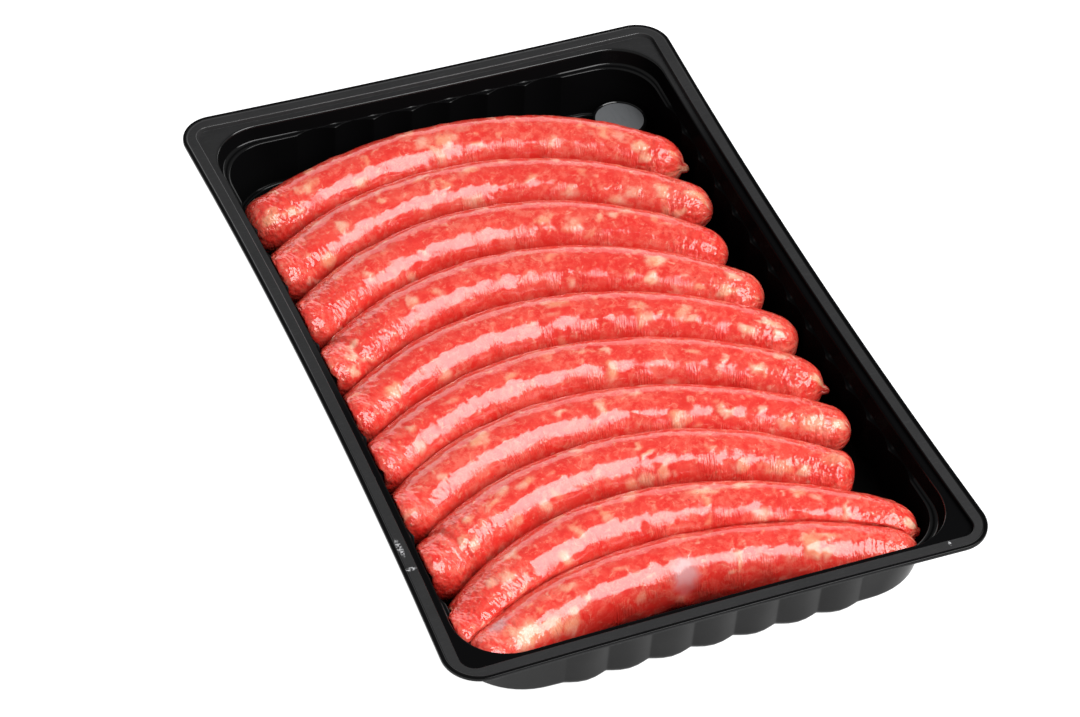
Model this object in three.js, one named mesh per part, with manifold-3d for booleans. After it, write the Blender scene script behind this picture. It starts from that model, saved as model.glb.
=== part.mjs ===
// A meat tray pack: a black thermoformed tray with fluted walls, holding ten raw sausages side by side.
// Millimetres, +Z up. X runs across the tray, Y along it, and the origin is under the tray's centre.
import * as THREE from 'three';
import { mergeVertices } from 'three/addons/utils/BufferGeometryUtils.js';
import Module from 'manifold-3d';

// Driving dimensions of the tray
const RIM_WIDTH = 184;
const RIM_LENGTH = 275;
const TRAY_HEIGHT = 27.5;
const SHEET = 0.7;
const LONG_SIDE_BOW = 3.3;
const SHORT_SIDE_BOW = 1.0;
const LIP_EDGE = 0.5;
const LIP_DROP = 1.1;
const FLANGE_START = 1.7;
const FLANGE_END = 6.3;
const FLANGE_DEPTH = 0.4;
const SHELF_START = 6.8;
const SHELF_DEPTH = 1.3;
const CAVITY_EDGE = 7.9;
const CAVITY_EDGE_DEPTH = 1.7;
const LEDGE_SETBACK = 9.3;
const LEDGE_DEPTH = 7.4;
const LEDGE_FALL = 0.2;
const WALL_FOOT_SETBACK = 10.0;
const FOOT_FILLET = 1.0;
const PAD_PLACE = [67, 110.3];
const PAD_RADIUS = 9.7;
const PAD_HEIGHT = 8.5;
const RIM_CORNER = 12;
const FLANGE_CORNER = 5;
const CAVITY_CORNER = 19;
const FLOOR_CORNER = 24;
const BASE_CORNER = 27;

// The flutes: shallow scallops in the lower wall, with sharp ridges between them
const RIDGE_DEPTH = 1.8;
const SHORT_PITCH = 14.4;
const SHORT_COUNT = 7;
const LONG_PITCH = 15.2;
const LONG_COUNT = 13;
const STEPS_PER_FLUTE = 4;
const STEPS_PER_CORNER = 4;
const PLAIN_STEPS = { long: 12, short: 8 };
const PAD_STEPS = 24;
const WELD = 1e-4;

// Driving dimensions of the sausages
const GIRTH_RADIUS = 11.3;
const UPRIGHT = 1.04;
const END_TAPER = 0.2;
const TAPER_POWER = 3;
const CAP_LENGTH = 9;
const SWELL = 0.018;
const SWELL_WAVES = 2.5;
const BEND_REACH = 70;
const GAP = 0.3;
const RINGS = 20;
const SIDES = 14;

// One row for each sausage from the back: where its crest lies, how far it has dropped to the front at
// BEND_REACH from the crest, how much more to the right than to the left, and where its two tips are.
const SAUSAGES = [
  { crest: [-4.5, 106.7], sag: 20.5, lean: 4, tips: [-78, 78.5], girth: 1.0 },
  { crest: [-9.5, 84.9], sag: 25, lean: 0, tips: [-79, 76], girth: 0.99 },
  { crest: [-9.5, 61.1], sag: 28.5, lean: 0, tips: [-78.5, 70.5], girth: 1.02 },
  { crest: [-11, 36.6], sag: 27.5, lean: -2, tips: [-78, 73.5], girth: 1.03 },
  { crest: [-11.5, 12.1], sag: 25.5, lean: -2.5, tips: [-77.5, 76], girth: 1.02 },
  { crest: [-10.5, -11.6], sag: 24.5, lean: -1.5, tips: [-77.5, 75], girth: 1.01 },
  { crest: [-13.5, -34.3], sag: 25, lean: -3.5, tips: [-78, 75], girth: 0.99 },
  { crest: [-9, -56.9], sag: 26.5, lean: 0, tips: [-78.5, 66.5], girth: 1.02 },
  { crest: [-13.5, -81.3], sag: 29, lean: -7, tips: [-79, 76.5], girth: 1.0 },
  { crest: [-9, -102.9], sag: 19, lean: -3, tips: [-73, 72.5], girth: 0.98 },
];

// Worked out from the dimensions above
const HALF_WIDTH = RIM_WIDTH / 2;
const HALF_LENGTH = RIM_LENGTH / 2;
const FLOOR_DEPTH = TRAY_HEIGHT - SHEET;
const SHORT_ZONE = (SHORT_PITCH * SHORT_COUNT) / 2;
const LONG_ZONE = (LONG_PITCH * LONG_COUNT) / 2;

const wasm = await Module();
wasm.setup();

// Draws a ring's sides in towards the middle of each side, as the long thin walls of such trays are.
function bowed(x, y) {
  const across = 1 - (LONG_SIDE_BOW / HALF_WIDTH) * (1 - (y / HALF_LENGTH) ** 2);
  const along = 1 - (SHORT_SIDE_BOW / HALF_LENGTH) * (1 - (x / HALF_WIDTH) ** 2);
  return [x * across, y * along];
}

// How far a fluted wall stands in at a place along its side: nothing in a scallop, all of it on a ridge.
function fluteInset(place, pitch, ridge) {
  return ridge * (1 - Math.abs(Math.cos((Math.PI * place) / pitch)));
}

// The places along a side that have a point, from one end of its flutes to the other.
function stations(zone, steps) {
  return Array.from({ length: steps + 1 }, (_, i) => -zone + (2 * zone * i) / steps);
}

// One closed ring of points round the tray, counter-clockwise. A ring with ridges has points on every flute.
function ring({ setback, depth, radius, ridge }) {
  const halfX = HALF_WIDTH - setback;
  const halfY = HALF_LENGTH - setback;
  const z = TRAY_HEIGHT - depth;
  const along = stations(LONG_ZONE, ridge ? LONG_COUNT * STEPS_PER_FLUTE : PLAIN_STEPS.long);
  const across = stations(SHORT_ZONE, ridge ? SHORT_COUNT * STEPS_PER_FLUTE : PLAIN_STEPS.short);
  const flat = [];
  for (const turn of [1, -1]) {
    for (const y of along) {
      flat.push([turn * (halfX - fluteInset(y, LONG_PITCH, ridge)), turn * y]);
    }
    flat.push(...corner(turn, turn, halfX - ridge, halfY - ridge, radius, 0));
    for (const x of across) {
      flat.push([-turn * x, turn * (halfY - fluteInset(x, SHORT_PITCH, ridge))]);
    }
    flat.push(...corner(-turn, turn, halfX - ridge, halfY - ridge, radius, Math.PI / 2));
  }
  return flat.map(([x, y]) => new THREE.Vector3(...bowed(x, y), z));
}

// The points of one rounded corner, in the ring's direction.
function corner(signX, signY, halfX, halfY, radius, start) {
  const points = [];
  for (let i = 0; i <= STEPS_PER_CORNER; i += 1) {
    const angle = start + (Math.PI / 2) * (i / STEPS_PER_CORNER);
    const reachX = halfX - radius + radius * Math.abs(Math.cos(angle));
    const reachY = halfY - radius + radius * Math.abs(Math.sin(angle));
    points.push([signX * reachX, signY * reachY]);
  }
  return points;
}

// Where a point lies round the tray, from 0 to 1, so that rings with different counts can be joined.
function turnOf(point, start) {
  const angle = Math.atan2(point.y / HALF_LENGTH, point.x / HALF_WIDTH) - start;
  return (((angle / (2 * Math.PI)) % 1) + 1) % 1;
}

// A closed solid from rings, each joined to the next and the first and last closed by a fan.
function loft(rings) {
  const vertices = [];
  const triangles = [];
  const starts = rings.map((points) => {
    const first = vertices.length;
    vertices.push(...points);
    return first;
  });
  for (let k = 0; k + 1 < rings.length; k += 1) {
    joinRings(rings[k], starts[k], rings[k + 1], starts[k + 1], triangles);
  }
  closeRing(rings[0], starts[0], vertices, triangles, true);
  closeRing(rings.at(-1), starts.at(-1), vertices, triangles, false);
  return meshGeometry(vertices, triangles);
}

// Joins two rings by triangles, each time stepping on along the ring that lags behind.
function joinRings(low, lowStart, high, highStart, triangles) {
  const origin = Math.atan2(low[0].y / HALF_LENGTH, low[0].x / HALF_WIDTH);
  const place = (points, i) => (i >= points.length ? 1 : turnOf(points[i], origin));
  let i = 0;
  let j = 0;
  while (i < low.length || j < high.length) {
    const a = lowStart + (i % low.length);
    const b = highStart + (j % high.length);
    if (j === high.length || (i < low.length && place(low, i + 1) <= place(high, j + 1))) {
      i += 1;
      triangles.push([a, lowStart + (i % low.length), b]);
    } else {
      j += 1;
      triangles.push([a, highStart + (j % high.length), b]);
    }
  }
}

// Closes a ring with a fan round its centre.
function closeRing(points, start, vertices, triangles, facesBack) {
  const centre = points.reduce((sum, point) => sum.add(point), new THREE.Vector3());
  centre.divideScalar(points.length);
  const hub = vertices.push(centre) - 1;
  points.forEach((_, i) => {
    const a = start + i;
    const b = start + ((i + 1) % points.length);
    triangles.push(facesBack ? [a, hub, b] : [a, b, hub]);
  });
}

function meshGeometry(vertices, triangles) {
  const geometry = new THREE.BufferGeometry();
  const flat = vertices.flatMap((v) => [v.x, v.y, v.z]);
  geometry.setAttribute('position', new THREE.Float32BufferAttribute(flat, 3));
  geometry.setIndex(triangles.flat());
  return geometry;
}

// Between three.js geometry and the solids that can be joined and cut
function toSolid(geometry) {
  const bare = geometry.clone();
  bare.deleteAttribute('normal');
  bare.deleteAttribute('uv');
  const merged = mergeVertices(bare, WELD);
  return new wasm.Manifold(
    new wasm.Mesh({
      numProp: 3,
      vertProperties: new Float32Array(merged.attributes.position.array),
      triVerts: new Uint32Array(merged.index.array),
    }),
  );
}

function toGeometry(solid) {
  const mesh = solid.getMesh();
  const geometry = new THREE.BufferGeometry();
  geometry.setAttribute('position', new THREE.BufferAttribute(new Float32Array(mesh.vertProperties), 3));
  geometry.setIndex(new THREE.BufferAttribute(new Uint32Array(mesh.triVerts), 1));
  geometry.computeVertexNormals();
  return geometry;
}

// A short upright disc with its axis at x, y
function disc(x, y, radius, bottom, top) {
  const geometry = new THREE.CylinderGeometry(radius, radius, top - bottom, PAD_STEPS);
  geometry.rotateX(Math.PI / 2);
  geometry.translate(x, y, (bottom + top) / 2);
  return toSolid(geometry);
}

// One level of the tray's sheet: how far in from the rim, how deep, with which corners, plain or fluted.
const plain = (setback, depth, radius) => ({ setback, depth, radius, ridge: 0 });
const fluted = (setback, depth, radius) => ({ setback, depth, radius, ridge: RIDGE_DEPTH });

// The tray: a thin sheet from the edge of its underside up the outside of the wall, over the lip and
// the flange, and down the inside of the wall to the floor, with a round pad raised in one corner.
function trayGeometry() {
  const footDepth = FLOOR_DEPTH - FOOT_FILLET;
  const outside = [
    fluted(WALL_FOOT_SETBACK + FOOT_FILLET / 2, TRAY_HEIGHT, BASE_CORNER),
    fluted(WALL_FOOT_SETBACK - SHEET, footDepth, FLOOR_CORNER + SHEET),
    fluted(LEDGE_SETBACK - SHEET, LEDGE_DEPTH + LEDGE_FALL + SHEET, CAVITY_CORNER),
    plain(LEDGE_SETBACK - SHEET, LEDGE_DEPTH + SHEET / 2, CAVITY_CORNER),
    plain(CAVITY_EDGE - SHEET, CAVITY_EDGE_DEPTH + SHEET, CAVITY_CORNER),
    plain(LIP_EDGE, LIP_DROP, RIM_CORNER),
  ];
  const inside = [
    plain(0, LIP_DROP - LIP_EDGE, RIM_CORNER),
    plain(LIP_EDGE, 0, RIM_CORNER),
    plain(FLANGE_START, FLANGE_DEPTH, RIM_CORNER - FLANGE_START),
    plain(FLANGE_END, FLANGE_DEPTH, FLANGE_CORNER),
    plain(SHELF_START, SHELF_DEPTH, FLANGE_CORNER),
    plain(CAVITY_EDGE, CAVITY_EDGE_DEPTH, CAVITY_CORNER),
    plain(LEDGE_SETBACK, LEDGE_DEPTH, CAVITY_CORNER - SHEET),
    fluted(LEDGE_SETBACK, LEDGE_DEPTH + LEDGE_FALL, CAVITY_CORNER - SHEET),
    fluted(WALL_FOOT_SETBACK, footDepth, FLOOR_CORNER),
    fluted(WALL_FOOT_SETBACK + FOOT_FILLET, FLOOR_DEPTH, FLOOR_CORNER),
  ];
  const sheet = toSolid(loft([...outside, ...inside].map(ring)));
  const pad = disc(...PAD_PLACE, PAD_RADIUS, 0, PAD_HEIGHT);
  const underPad = disc(...PAD_PLACE, PAD_RADIUS - SHEET, -SHEET, PAD_HEIGHT - SHEET);
  return toGeometry(sheet.add(pad).subtract(underPad));
}

// A sausage's axis as seen from above: an uneven arch with its ends towards the front.
function axisY({ crest, sag, lean }, x) {
  const reach = (x - crest[0]) / BEND_REACH;
  return crest[1] - sag * reach ** 2 - lean * reach ** 3;
}

function axisSlope({ crest, sag, lean }, x) {
  const reach = (x - crest[0]) / BEND_REACH;
  return (-2 * sag * reach - 3 * lean * reach ** 2) / BEND_REACH;
}

// The inside of the tray at a height, measured on the ridges of its wall: half sizes and corner radius.
function cavityAt(z) {
  const depth = TRAY_HEIGHT - z;
  const share = THREE.MathUtils.clamp((depth - LEDGE_DEPTH) / (FLOOR_DEPTH - LEDGE_DEPTH), 0, 1);
  const wall = THREE.MathUtils.lerp(LEDGE_SETBACK, WALL_FOOT_SETBACK + FOOT_FILLET, share);
  const setback = wall + RIDGE_DEPTH + GAP;
  const radius = THREE.MathUtils.lerp(CAVITY_CORNER, FLOOR_CORNER, share);
  return { halfX: HALF_WIDTH - setback, halfY: HALF_LENGTH - setback, radius };
}

// Keeps a point of the food inside the tray's walls and rounded corners.
function insideTray(point) {
  const { halfX, halfY, radius } = cavityAt(point.z);
  const reachX = bowed(halfX, point.y)[0];
  const reachY = bowed(point.x, halfY)[1];
  const x = THREE.MathUtils.clamp(point.x, -reachX, reachX);
  const y = THREE.MathUtils.clamp(point.y, -reachY, reachY);
  const overX = Math.max(Math.abs(x) - (reachX - radius), 0);
  const overY = Math.max(Math.abs(y) - (reachY - radius), 0);
  const excess = Math.max(Math.hypot(overX, overY) / radius, 1);
  const back = 1 - 1 / excess;
  return new THREE.Vector3(x - Math.sign(x) * overX * back, y - Math.sign(y) * overY * back, point.z);
}

// Keeps a sausage's point clear of the tray and of the sausages before and behind it. Where sausages
// press together they meet half-way between their axes.
function pressed(point, index) {
  const own = SAUSAGES[index];
  const kept = insideTray(point);
  if (index > 0) {
    const seam = (axisY(own, kept.x) + axisY(SAUSAGES[index - 1], kept.x)) / 2;
    kept.y = Math.min(kept.y, seam - GAP / 2);
  }
  if (index + 1 < SAUSAGES.length) {
    const seam = (axisY(own, kept.x) + axisY(SAUSAGES[index + 1], kept.x)) / 2;
    kept.y = Math.max(kept.y, seam + GAP / 2);
  }
  return kept;
}

// One sausage: sections along the arch, a little taller than wide as they are pressed side by side, thinner
// towards the ends and closed by rounded caps.
function sausageGeometry(index) {
  const own = SAUSAGES[index];
  const [left, right] = own.tips;
  const rings = [];
  for (let k = 1; k < RINGS; k += 1) {
    const share = (1 - Math.cos((Math.PI * k) / RINGS)) / 2;
    const x = THREE.MathUtils.lerp(left, right, share);
    const slope = axisSlope(own, x);
    const stretch = Math.hypot(1, slope);
    const toTip = Math.min(x - left, right - x) * stretch;
    const cap = Math.sqrt(1 - (1 - Math.min(toTip / CAP_LENGTH, 1)) ** 2);
    const swell = 1 + SWELL * Math.sin(SWELL_WAVES * 2 * Math.PI * share + index);
    const body = GIRTH_RADIUS * own.girth * swell * (1 - END_TAPER * Math.abs(2 * share - 1) ** TAPER_POWER);
    const height = SHEET + GAP + UPRIGHT * body;
    const section = [];
    for (let j = 0; j < SIDES; j += 1) {
      const angle = (2 * Math.PI * (j + 0.5)) / SIDES;
      const sideways = body * cap * Math.cos(angle);
      const point = new THREE.Vector3(
        x - (slope / stretch) * sideways,
        axisY(own, x) + sideways / stretch,
        height + UPRIGHT * body * cap * Math.sin(angle),
      );
      section.push(pressed(point, index));
    }
    rings.push(section);
  }
  return toGeometry(toSolid(sweep(rings)));
}

// A closed solid from sections of equal count, with its ends closed by fans.
function sweep(rings) {
  const vertices = rings.flat();
  const triangles = [];
  const count = rings[0].length;
  for (let k = 0; k + 1 < rings.length; k += 1) {
    for (let j = 0; j < count; j += 1) {
      const a = k * count + j;
      const b = k * count + ((j + 1) % count);
      triangles.push([a, b, a + count], [b, b + count, a + count]);
    }
  }
  closeRing(rings[0], 0, vertices, triangles, true);
  closeRing(rings.at(-1), (rings.length - 1) * count, vertices, triangles, false);
  return meshGeometry(vertices, triangles);
}

function node(name, geometry, material) {
  const mesh = new THREE.Mesh(geometry, material);
  mesh.name = name;
  return mesh;
}

const trayPlastic = new THREE.MeshStandardMaterial({ color: '#1b1b1c', roughness: 0.3, metalness: 0 });
const rawSausage = new THREE.MeshStandardMaterial({ color: '#d9473f', roughness: 0.35, metalness: 0 });

const pack = new THREE.Group();
pack.add(node('tray', trayGeometry(), trayPlastic));
SAUSAGES.forEach((_, index) => {
  const name = `sausage_${String(index + 1).padStart(2, '0')}`;
  pack.add(node(name, sausageGeometry(index), rawSausage));
});

export default pack;
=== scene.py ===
"""Looks of a tray of raw sausages: the finish of the tray, the ten sausages and a pale studio round them."""
import math
from collections import namedtuple

import bmesh
import bpy
import numpy as np
from bpy.props import FloatProperty, FloatVectorProperty, IntProperty, PointerProperty
from bpy.types import Operator, Panel, PropertyGroup
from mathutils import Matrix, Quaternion, Vector


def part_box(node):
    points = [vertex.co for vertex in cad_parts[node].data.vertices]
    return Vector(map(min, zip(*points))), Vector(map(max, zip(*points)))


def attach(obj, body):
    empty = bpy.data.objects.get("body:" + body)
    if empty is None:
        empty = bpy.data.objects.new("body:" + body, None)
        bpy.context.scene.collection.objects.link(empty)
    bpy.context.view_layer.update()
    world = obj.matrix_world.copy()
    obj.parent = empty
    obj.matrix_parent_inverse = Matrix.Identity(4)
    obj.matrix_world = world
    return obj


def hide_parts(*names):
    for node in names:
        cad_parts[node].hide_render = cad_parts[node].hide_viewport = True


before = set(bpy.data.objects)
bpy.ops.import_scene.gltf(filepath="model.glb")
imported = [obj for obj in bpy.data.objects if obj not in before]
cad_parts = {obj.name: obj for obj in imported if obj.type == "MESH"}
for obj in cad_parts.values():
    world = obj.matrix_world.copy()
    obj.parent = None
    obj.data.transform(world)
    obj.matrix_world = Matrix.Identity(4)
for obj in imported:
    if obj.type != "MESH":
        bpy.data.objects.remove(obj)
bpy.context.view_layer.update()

bl_info = {
    "name": "Sausage tray pack",
    "version": (1, 0, 0),
    "blender": (4, 5, 0),
    "location": "View3D > Sidebar > Tray pack",
    "description": "Finishes a tray of raw sausages round its packed frame and lights it on a pale floor",
    "category": "Object",
}

# What the frame gives: the object's box, the tray's rim and the nodes that hold a sausage
MM = 0.001
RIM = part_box("tray")[1]
SAUSAGE_NODES = sorted(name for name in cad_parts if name.startswith("sausage"))


def length(name, description, millimetres):
    """A size in the panel, given here in millimetres."""
    return FloatProperty(name=name, description=description, default=millimetres * MM,
                         unit="LENGTH", precision=5)


def angle(name, description, degrees):
    """An angle in the panel, given here in degrees."""
    return FloatProperty(name=name, description=description, default=math.radians(degrees),
                         subtype="ANGLE")


def colour(name, description, red, green, blue):
    """A linear colour in the panel."""
    return FloatVectorProperty(name=name, description=description, default=(red, green, blue),
                               subtype="COLOR", size=3, min=0.0, max=1.0)


class TraySettings(PropertyGroup):
    """Sizes and colours of the thermoformed tray"""
    sheet: length("Sheet", "Thickness of the formed sheet", 0.7)
    long_bow: length("Long bow", "How far the long sides draw in at their middle", 2.75)
    short_bow: length("Short bow", "How far the short sides draw in at their middle", 0.76)
    lip_width: length("Lip width", "Width of the rolled lip round the rim", 1.5)
    lip_drop: length("Lip drop", "How far the lip's outer edge turns down", 1.3)
    flange_width: length("Flange width", "Width of the flat sealing flange", 3.6)
    flange_depth: length("Flange depth", "How far the flange lies below the lip", 0.4)
    rim_corner: length("Rim corner", "Radius of the rim's corners", 12)
    flange_corner: length("Flange corner", "Radius of the flange's inner corners", 5)
    shelf_depth: length("Shelf depth", "How far the corner shelves lie below the lip", 1.9)
    cavity_edge: length("Cavity edge", "How far in from the rim the cavity starts", 7.9)
    cavity_corner: length("Cavity corner", "Radius of the cavity's corners at the top", 19)
    ledge_depth: length("Ledge depth", "How far the small ledge above the flutes lies below the lip", 7.4)
    ledge_setback: length("Ledge setback", "How far in from the rim the ledge lies", 9.3)
    foot_setback: length("Foot setback", "How far in from the rim the wall meets the floor", 10.0)
    foot_fillet: length("Foot fillet", "Width of the rounding between the wall and the floor", 1.0)
    floor_corner: length("Floor corner", "Radius of the cavity's corners at the floor", 24)
    base_corner: length("Base corner", "Radius of the corners under the tray", 27)
    ridge: length("Ridge", "How far the ridges between the flutes stand in", 1.8)
    long_pitch: length("Long pitch", "Width of one flute on the long sides", 15.2)
    long_flutes: IntProperty(name="Long flutes", description="Flutes on each long side, an odd number",
                             default=13)
    short_pitch: length("Short pitch", "Width of one flute on the short sides", 14.4)
    short_flutes: IntProperty(name="Short flutes", description="Flutes on each short side, an odd number",
                              default=7)
    pad_x: length("Pad X", "Where the round pad in the back right corner lies across the tray", 67)
    pad_y: length("Pad Y", "Where the round pad lies along the tray", 110.3)
    pad_radius: length("Pad radius", "Radius of the round pad", 9.7)
    pad_height: length("Pad height", "Height of the round pad's top above the table", 8.5)
    black: colour("Black", "Colour of the glossy plastic", 0.0028, 0.0028, 0.0030)
    grey: colour("Grey", "Colour of the satin flange", 0.028, 0.028, 0.0285)
    # Shared by the flange's rubbed streaks and by its painted highlights along the edges
    wear_and_highlight_grey: colour("Worn grey", "Colour of the flange where it is rubbed and along its edges",
                      0.075, 0.075, 0.076)
    pale_grey: colour("Pale grey", "Colour of the round pad's dull face", 0.11, 0.115, 0.12)
    scuff: colour("Scuff", "Colour of the scuffs on the flange", 0.42, 0.42, 0.43)


class SausageSettings(PropertyGroup):
    """Sizes and colours of the raw sausages"""
    rings: IntProperty(name="Rings", description="Sections along each sausage", default=320)
    sides: IntProperty(name="Sides", description="Points round each section", default=120)
    gap: length("Gap", "Clearance between neighbours", 0.3)
    upright: FloatProperty(name="Upright", description="Height of a section over its width", default=1.04)
    taper: FloatProperty(name="Taper", description="Loss of girth at the right ends", default=0.26)
    left_taper: FloatProperty(name="Left taper", description="Loss of girth at the left ends", default=0.14)
    cap: length("Cap", "Length of the rounded right ends", 10.5)
    left_cap: length("Left cap", "Length of the left ends", 11)
    left_lift: FloatProperty(name="Left lift", description="Share of their reach that the left tips climb",
                             default=0.8)
    right_lift: length("Right lift", "How far the right tips turn up", 1.5)
    lump_height: length("Lump height", "Height of the lumps of meat under the casing", 0.7)
    lump_size: length("Lump size", "Width of the lumps", 11)
    grain_height: length("Grain height", "Height of the coarse grain of the mince", 0.22)
    grain_size: length("Grain size", "Width of the coarse grain", 3.2)
    fat_rise: length("Fat rise", "How far lumps of fat lift the casing", 0.16)
    wrinkle_height: length("Wrinkle height", "Height of the folds across the left ends", 0.16)
    wrinkle_pitch: length("Wrinkle pitch", "Distance between the folds", 3.4)
    wrinkle_reach: length("Wrinkle reach", "How far the folds run from an end", 30)
    large_fat: IntProperty(name="Large fat", description="Scattered lumps of fat in each sausage", default=52)
    small_fat: IntProperty(name="Small fat", description="Scattered crumbs of fat in each sausage",
                           default=220)
    seed: IntProperty(name="Seed", description="Start of the scattering", default=7)
    deep: colour("Deep lean", "Colour of the deepest red meat", 0.66, 0.030, 0.022)
    lean: colour("Lean", "Colour of the lean meat", 0.70, 0.064, 0.044)
    pink: colour("Pink", "Colour of the mixed paler meat", 0.73, 0.135, 0.094)
    fat: colour("Fat", "Colour of the whitest fat", 0.78, 0.52, 0.38)
    warm_fat: colour("Warm fat", "Colour of the fat that shows through red", 0.77, 0.33, 0.19)
    # Painted shade: the colour that darkens the meat deep between two sausages, where they press together
    fold: colour("Fold", "Colour of the meat deep between two sausages", 0.40, 0.009, 0.006)
    membrane: colour("Membrane", "Colour of the greyish skin", 0.60, 0.27, 0.27)
    speck: colour("Speck", "Colour of the dark specks in the meat", 0.16, 0.02, 0.018)


# Lumps of fat that stand out in the photograph, in millimetres and degrees: where along the tray's width, how
# far round from the crest, how long, how wide and how pale. The lists follow the sausages from the back.
SEEN_FAT = (
    ((-58, -13, 3.4, 2.6, 0.9), (-12, -12, 2.6, 2.2, 0.6), (-4, -19, 3.8, 3.2, 0.8),
     (-34, -14, 0.9, 3.0, 0.6), (-40, -47, 2.6, 1.8, 0.7), (-67, -39, 3.0, 1.6, 0.7),
     (64, -23, 3.2, 2.6, 0.9), (66, -42, 2.4, 2.0, 0.8), (51, 0, 2.8, 1.8, 0.6),
     (57, -9, 3.6, 2.6, 0.45), (35, -39, 1.6, 2.6, 0.6), (-75, -30, 3.4, 3.0, 0.8),
     (79, -40, 2.6, 14.0, 1.0)),
    ((-54, -14, 1.8, 3.2, 0.8), (-65, -51, 3.4, 2.8, 0.85), (-2, 4, 3.2, 1.8, 0.8),
     (-20, 9, 2.4, 1.4, 0.6), (-2, -54, 2.8, 2.2, 0.75), (32, -50, 3.0, 2.2, 0.7),
     (62, -22, 2.6, 3.0, 0.85), (71, -7, 4.0, 2.4, 0.85), (53, -39, 2.4, 2.0, 0.6),
     (48, -57, 3.2, 1.6, 0.8)),
    ((-54, -18, 1.0, 2.6, 0.7), (14, -24, 2.4, 2.2, 0.8), (25, -31, 3.0, 2.6, 0.6),
     (41, 9, 2.8, 1.6, 0.6)),
    ((42, -5, 3.9, 2.6, 1.0), (41, -40, 2.5, 2.4, 0.95), (34, -36, 1.6, 1.6, 0.7),
     (56, -41, 1.8, 1.4, 0.7), (65, -2, 3.0, 1.8, 0.85), (64, -39, 2.8, 2.4, 0.9),
     (-73, -22, 2.6, 2.0, 0.85), (-76, -45, 2.4, 2.4, 0.85), (-70, -6, 2.4, 1.6, 0.7),
     (-44, -12, 2.4, 2.0, 0.7)),
    ((42, -18, 2.2, 3.4, 0.7), (30, -32, 3.0, 1.8, 0.75), (28, -13, 3.2, 1.4, 0.7),
     (62, -33, 2.8, 2.2, 0.95), (68, -9, 4.2, 1.6, 0.9), (71, -26, 2.4, 1.8, 0.8), (0, 4, 3.0, 1.8, 0.7),
     (-47, -56, 2.4, 2.0, 0.7), (-66, -27, 3.6, 3.0, 0.85)),
    ((9, -43, 1.8, 3.6, 0.9), (56, -27, 2.8, 2.4, 0.95), (62, 12, 2.2, 1.6, 0.7),
     (-26, -12, 2.6, 1.4, 0.75), (0, 2, 2.0, 1.0, 0.7), (8, -6, 2.2, 1.0, 0.7), (35, -11, 1.8, 1.0, 0.7),
     (74, -14, 3.0, 3.0, 1.0)),
    ((-46, 5, 4.4, 2.2, 0.85), (22, -48, 2.4, 3.4, 1.0), (36, -25, 1.8, 2.2, 0.75),
     (38, -34, 2.0, 1.4, 0.75), (56, -44, 2.2, 2.0, 0.7), (71, -25, 2.6, 2.6, 0.9),
     (64, -33, 4.4, 3.4, 0.75), (-3, -13, 1.4, 2.6, 0.8)),
    ((-4, -66, 1.6, 2.2, 0.85), (1, -63, 2.0, 2.2, 0.85), (34, -45, 2.0, 2.2, 0.75),
     (61, -1, 4.0, 3.0, 0.55), (46, -43, 4.6, 2.4, 0.6), (-47, 7, 2.6, 1.6, 0.7),
     (-52, -2, 3.4, 1.0, 0.7), (-62, 2, 2.0, 1.6, 0.75), (-68, -20, 2.2, 1.8, 0.7),
     (-66, -37, 2.2, 2.0, 0.7)),
    ((12, 2, 4.6, 2.0, 0.8), (25, 15, 3.6, 1.4, 0.8), (31, -42, 3.0, 2.2, 0.6), (41, 6, 3.2, 1.6, 0.6),
     (55, -23, 1.0, 4.0, 0.7), (74, -18, 2.6, 2.6, 1.0), (-53, 16, 2.6, 2.0, 0.6),
     (-60, -11, 3.0, 2.4, 0.7), (-64, 4, 2.2, 1.8, 0.6), (-21, -4, 1.4, 3.0, 0.7),
     (-32, -14, 1.4, 3.4, 0.7)),
    ((38, -25, 3.0, 4.2, 0.85), (42, -39, 2.2, 2.2, 0.7), (43, -10, 4.0, 1.6, 0.7),
     (14, -40, 1.4, 3.6, 0.75), (-63, -32, 6.0, 4.4, 0.95), (-54, -42, 3.4, 4.0, 0.8),
     (-48, -58, 3.4, 3.6, 0.8), (-55, -9, 1.6, 1.4, 0.6)),
)
# Patches of greyish skin in the same terms. The keys here and below count the sausages from 0 at the back.
SEEN_MEMBRANE = {9: ((-5, -50, 4.6, 6.0, 1.0), (-67, 18, 4.4, 2.6, 0.9))}
# Right tips that stand out as a small knob: its length and radius in millimetres
SEEN_TIPS = {0: (4.2, 2.7), 5: (3.4, 2.3), 8: (2.6, 2.2)}
# Right ends that are blunter than the others: their share of the usual length of a rounded end
BLUNT_ENDS = {7: 0.55}
# Scuffs on the flange, in millimetres: where across and along the tray, and half their width and length
SEEN_SCUFFS = ((-87.3, -78.3, 1.1, 4.6), (-87.0, -87.6, 2.1, 0.9), (75.3, -133.2, 0.6, 1.4))
# How far the left ends reach past those of the frame, and the right ones fall short, in millimetres
LEFT_REACH = (2.4, 5, 5, 5.5, 5.5, 5.5, 5.5, 5.5, 5.5, 5.5)
RIGHT_TRIM = (0, 0.9, 1.2, 1.1, 0.4, -0.4, 1.3, 1.7, 0, 0)
# How far from the left tip the casing is crumpled, and where a fold draws it in, in millimetres
LEFT_CRUMPLE = (19, 17, 25, 35, 17, 13, 9, 30, 35, 20)
LEFT_NECKS = {3: 16, 7: 17}


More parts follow.
